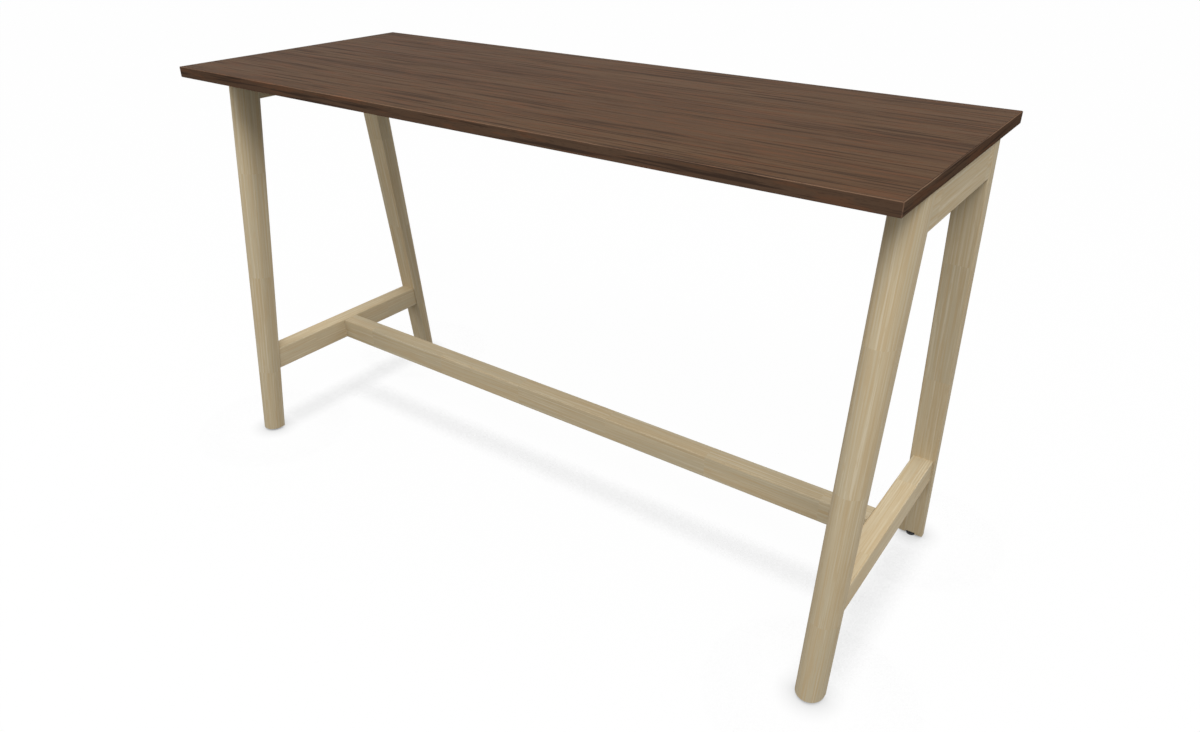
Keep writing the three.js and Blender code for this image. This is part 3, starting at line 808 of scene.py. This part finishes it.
class TABLE_OT_rails(bpy.types.Operator):
    """Adds the top rails, the cross stretchers and the long stretcher"""

    bl_idname = "meeting_table.rails"
    bl_label = "Rails and stretchers"

    def execute(self, context):
        settings = context.scene.meeting_table.timber
        seed = 11
        for end, sign in ENDS:
            rail = cut(cross_bar(settings, RAIL_LOW, RAIL_HIGH), *self.bolt_holes(end, sign))
            moved(rail, Matrix.Translation((sign * FRAME_X, 0, 0)))
            look = pale_timber(f"Timber {end} rail", settings, ALONG_Y, seed)
            add_piece(f"{end}_rail_bar", rail, look, TABLE, f"{end}_top_rail")
            cross = cross_bar(settings, CROSS_LOW, CROSS_HIGH)
            moved(cross, Matrix.Translation((sign * FRAME_X, 0, 0)))
            # The cross stretchers' finish is a lighter copy of the timber: painted light.
            look = pale_timber(f"Timber {end} cross stretcher", settings, ALONG_Y, seed + 1,
                               settings.cross_painted_light)
            add_piece(f"{end}_cross_bar", cross, look, TABLE, f"{end}_cross_stretcher")
            seed += 2
        bar = block(LONG_LOW, LONG_HIGH)
        soften(bar, edges_along(bar, 0), settings.arris)
        look = pale_timber("Timber long stretcher", settings, ALONG_X, seed)
        bar = cut(bar, *self.nut_pockets())
        add_piece("long_bar", bar, look, TABLE, "long_stretcher")
        return {"FINISHED"}

    def bolt_holes(self, end, sign):
        """Counterbores in a rail's underside for the bolts into the board."""
        play, head_height = 0.6 * MM, 6.2 * MM
        holes = []
        for side, _ in SIDES:
            low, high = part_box(f"{side}_{end}_top_bolt")
            middle = (low + high) / 2
            radius = (high.x - low.x) / 2 + play
            place = (middle.x - sign * FRAME_X, middle.y)
            holes.append(rod(radius, RAIL_LOW.z - OVERSHOOT, low.z + head_height, place))
        return holes

    def nut_pockets(self):
        """Pockets in the long stretcher's underside for the nuts."""
        depth, play = 28 * MM, 0.2 * MM
        half_width, headroom = 12 * MM, 14 * MM
        pockets = []
        for end, sign in ENDS:
            low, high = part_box(f"{end}_stretcher_washer")
            outer = high.x if sign > 0 else low.x
            low_x, high_x = sorted((outer - sign * depth, outer + sign * play))
            top = (low.z + high.z) / 2 + headroom
            pockets.append(block((low_x, -half_width, LONG_LOW.z - OVERSHOOT), (high_x, half_width, top)))
        return pockets


class TABLE_OT_feet(bpy.types.Operator):
    """Adds the levelling pads and their screws"""

    bl_idname = "meeting_table.feet"
    bl_label = "Levelling feet"

    def execute(self, context):
        settings = context.scene.meeting_table.foot
        steel = context.scene.meeting_table.fastener
        nylon = speckled("Moulded nylon", settings.nylon, roughness=0.48, grains=2500, spread=0.12)
        black = speckled("Black steel", steel.black, roughness=0.4, grains=1800, spread=0.1,
                         metallic=0.6)
        for corner, x_sign, y_sign in CORNERS:
            place = Matrix.Translation((x_sign * FRAME_X, y_sign * FOOT_Y, 0))
            pad = moved(self.pad(settings), place)
            add_piece(f"{corner}_pad", pad, nylon, f"{corner}_foot", f"{corner}_foot_pad")
            screw = moved(self.screw(settings), place)
            add_piece(f"{corner}_levelling_screw", screw, black, f"{corner}_screw",
                      f"{corner}_foot_screw")
        return {"FINISHED"}

    def pad(self, settings):
        """A moulded pad with a hollow underside, rounded rims and a socket for the screw's head."""
        radius = (PAD_HIGH.x - PAD_LOW.x) / 2
        arris = settings.pad_arris
        top = PAD_HIGH.z
        hollow, hollow_roof, hollow_rim = 0.4 * MM, 0.55 * radius, 0.6 * radius
        neck, socket = 3.3 * MM, 4.8 * MM
        bottom, lip = 2 * MM, 4.2 * MM
        profile = [(0, hollow), (hollow_roof, hollow), (hollow_rim, 0)]
        profile += quarter_round((radius - arris, arris), (arris, arris), -90)
        profile += quarter_round((radius - arris, top - arris), (arris, arris), 0)
        profile += [(neck, top), (neck, lip), (socket, lip), (socket, bottom), (0, bottom)]
        return spun(profile)

    def screw(self, settings):
        """A captive head, a neck, a hexagon collar and a threaded stem."""
        low, high = FOOT_SCREW_LOW.z, FOOT_SCREW_HIGH.z
        head, neck, tip = 4.5 * MM, 3 * MM, M8_ROOT - 0.8 * MM
        head_top = low + 1.6 * MM
        collar_width, collar_arris = 17 * MM, 0.4 * MM
        collar_low = PAD_HIGH.z + 0.3 * MM
        collar_high = collar_low + 4 * MM
        stem_low = collar_low + MM
        pitch = settings.pitch
        thread_low = collar_high + 0.5 * pitch
        ridge = ((M8_CREST, 0.45), (M8_CREST, 0.55), (M8_ROOT, 1.0))
        profile = [(0, low), (head, low), (head, head_top), (neck, head_top), (neck, stem_low),
                   (M8_ROOT, stem_low), (M8_ROOT, thread_low)]
        profile += thread(thread_low, high - pitch, pitch, ridge)
        profile += [(tip, high), (0, high)]
        collar = hexagon(collar_width, collar_low, collar_high)
        soften(collar, collar.edges, collar_arris, segments=2)
        return joined(spun(profile, steps=24), collar)


class TABLE_OT_beams(bpy.types.Operator):
    """Adds the two steel beams under the board"""

    bl_idname = "meeting_table.beams"
    bl_label = "Support beams"

    def execute(self, context):
        settings = context.scene.meeting_table.fastener
        coat = speckled("Black powder coat", settings.black, roughness=0.55, grains=900, spread=0.08)
        for side, _ in SIDES:
            beam = self.beam(settings, side)
            add_piece(f"{side}_beam", beam, coat, TABLE, f"{side}_support_beam")
        return {"FINISHED"}

    def beam(self, settings, side):
        """A rectangular tube with rounded corners, and a plate with rounded ears at each end."""
        plate_corner, screw_hole = 5 * MM, 7 * MM
        low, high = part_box(f"{side}_support_beam")
        middle = (low.y + high.y) / 2
        half = settings.tube_width / 2
        tube_low = (low.x + settings.plate, middle - half, high.z - settings.tube_height)
        tube_high = (high.x - settings.plate, middle + half, high.z)
        tube = block(tube_low, tube_high)
        soften(tube, edges_along(tube, 0), settings.tube_corner)
        plates = []
        for start, end in ((low.x, low.x + settings.plate), (high.x - settings.plate, high.x)):
            plate = block((start, low.y, low.z), (end, high.y, high.z))
            soften(plate, edges_along(plate, 0), plate_corner)
            plates.append(plate)
        holes = []
        for end, _ in ENDS:
            screw_low, screw_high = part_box(f"{side}_{end}_board_screw")
            centre = (screw_low + screw_high) / 2
            roof = high.z - settings.tube_wall
            holes.append(rod(screw_hole, low.z - OVERSHOOT, roof, (centre.x, centre.y)))
        return joined(cut(tube, *holes), *plates)


class TABLE_OT_fasteners(bpy.types.Operator):
    """Adds screws, bolts, nuts and washers, and finishes the hidden ones"""

    bl_idname = "meeting_table.fasteners"
    bl_label = "Fasteners"

    def execute(self, context):
        settings = context.scene.meeting_table.fastener
        zinc = speckled("Plated steel", settings.zinc, roughness=0.32, grains=1500, spread=0.08,
                        metallic=1.0)
        beech = speckled("Beech dowel", settings.beech, roughness=0.7, grains=700, spread=0.1)
        for end, x_sign in ENDS:
            self.stretcher_joint(end, zinc)
            for side, _ in SIDES:
                corner = f"{side}_{end}"
                coat_node(f"{corner}_stretcher_dowel", beech)
                coat_node(f"{corner}_top_insert", zinc)
                coat_node(f"{corner}_foot_insert", zinc)
                self.upright(f"{corner}_board_screw", self.wood_screw, zinc)
                self.upright(f"{corner}_top_bolt", self.cap_bolt, zinc)
                for place in ("inner", "outer"):
                    self.level(f"{corner}_{place}_beam_screw", x_sign, self.wood_screw, zinc)
        return {"FINISHED"}

    def upright(self, node, make, look):
        """A fastener that points up, in place of its CAD node."""
        low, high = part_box(node)
        middle = (low + high) / 2
        shape = make(high.z - low.z, (high.x - low.x) / 2)
        moved(shape, Matrix.Translation((middle.x, middle.y, low.z)))
        add_piece(f"{node}_steel", shape, look, TABLE, node)

    def level(self, node, sign, make, look):
        """A fastener that points outward along X, in place of its CAD node."""
        low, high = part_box(node)
        middle = (low + high) / 2
        shape = make(high.x - low.x, (high.z - low.z) / 2)
        start = low.x if sign > 0 else high.x
        turn = Matrix.Rotation(sign * math.pi / 2, 4, "Y")
        moved(shape, Matrix.Translation((start, middle.y, middle.z)) @ turn)
        add_piece(f"{node}_steel", shape, look, TABLE, node)

    def wood_screw(self, total, head):
        """A pan head with a cross recess on a coarse threaded shank, standing on its head."""
        crown, head_height = 2.2 * MM, 3 * MM
        shank, core, crest = 2.4 * MM, 1.8 * MM, 2.5 * MM
        pitch, tip = 2.2 * MM, 4 * MM
        long, narrow, deep = 2.4 * MM, 0.5 * MM, 1.7 * MM
        ridge = ((core, 0.0), (crest, 0.4), (core, 0.8))
        profile = quarter_round((0, crown), (head, crown), -90, steps=5)
        profile += [(head, head_height), (shank, head_height)]
        profile += thread(2 * head_height, total - tip - pitch, pitch, ridge)
        profile += [(core, total - tip), (0, total)]
        recess = [block((-x, -y, -OVERSHOOT), (x, y, deep)) for x, y in ((long, narrow), (narrow, long))]
        return cut(spun(profile, steps=24), *recess)

    def cap_bolt(self, total, head):
        """A cap head with a hexagon socket on a threaded shank, standing on its head."""
        chamfer, head_height, threaded = 0.6 * MM, 6 * MM, 22 * MM
        socket, socket_depth = 6 * MM, 3.5 * MM
        thread_low = total - threaded
        ridge = ((M8_ROOT, 0.5), (M8_CREST, 1.0))
        profile = [(0, 0), (head - chamfer, 0), (head, chamfer), (head, head_height),
                   (M8_CREST, head_height), (M8_CREST, thread_low)]
        profile += thread(thread_low, total - 2 * M8_PITCH, M8_PITCH, ridge)
        profile += [(M8_ROOT, total), (0, total)]
        return cut(spun(profile, steps=24), hexagon(socket, -OVERSHOOT, socket_depth))

    def stretcher_joint(self, end, look):
        """The stud, washer and nut inside the long stretcher's pocket."""
        rim = 0.35 * MM
        on_side = Matrix.Rotation(math.pi / 2, 4, "Y")
        coat_node(f"{end}_stretcher_stud", look)
        for part, sides, bore in (("washer", 32, 4.2 * MM), ("nut", 6, 4.1 * MM)):
            node = f"{end}_stretcher_{part}"
            low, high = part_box(node)
            middle = (low + high) / 2
            thick = high.x - low.x
            disc = rod((high.z - low.z) / 2, 0, thick, sides=sides)
            soften(disc, disc.edges, rim, segments=2)
            ring = cut(disc, rod(bore, -OVERSHOOT, thick + OVERSHOOT))
            moved(ring, Matrix.Translation((low.x, middle.y, middle.z)) @ on_side)
            add_piece(f"{node}_steel", ring, look, TABLE, node)


class TABLE_PT_sidebar(bpy.types.Panel):
    """Lists the steps that dress the table"""

    bl_label = "Standing meeting table"
    bl_idname = "TABLE_PT_sidebar"
    bl_space_type = "VIEW_3D"
    bl_region_type = "UI"
    bl_category = "Table"

    def draw(self, context):
        for operator in STEPS:
            self.layout.operator(operator.bl_idname)
        for group in ("board", "timber", "foot", "fastener", "stage"):
            settings = getattr(context.scene.meeting_table, group)
            box = self.layout.box()
            box.label(text=group.capitalize())
            for name in settings.bl_rna.properties.keys():
                if name not in ("rna_type", "name"):
                    box.prop(settings, name)


STEPS = (TABLE_OT_stage, TABLE_OT_board, TABLE_OT_legs, TABLE_OT_rails, TABLE_OT_feet,
         TABLE_OT_beams, TABLE_OT_fasteners)
CLASSES = (BoardSettings, TimberSettings, FootSettings, FastenerSettings, StageSettings, TableSettings,
           *STEPS, TABLE_PT_sidebar)


def register():
    for kind in CLASSES:
        bpy.utils.register_class(kind)
    bpy.types.Scene.meeting_table = PointerProperty(type=TableSettings)


def unregister():
    del bpy.types.Scene.meeting_table
    for kind in reversed(CLASSES):
        bpy.utils.unregister_class(kind)


def main():
    register()
    bpy.ops.meeting_table.stage()
    bpy.ops.meeting_table.board()
    bpy.ops.meeting_table.legs()
    bpy.ops.meeting_table.rails()
    bpy.ops.meeting_table.feet()
    bpy.ops.meeting_table.beams()
    bpy.ops.meeting_table.fasteners()


if __name__ == "__main__":
    main()
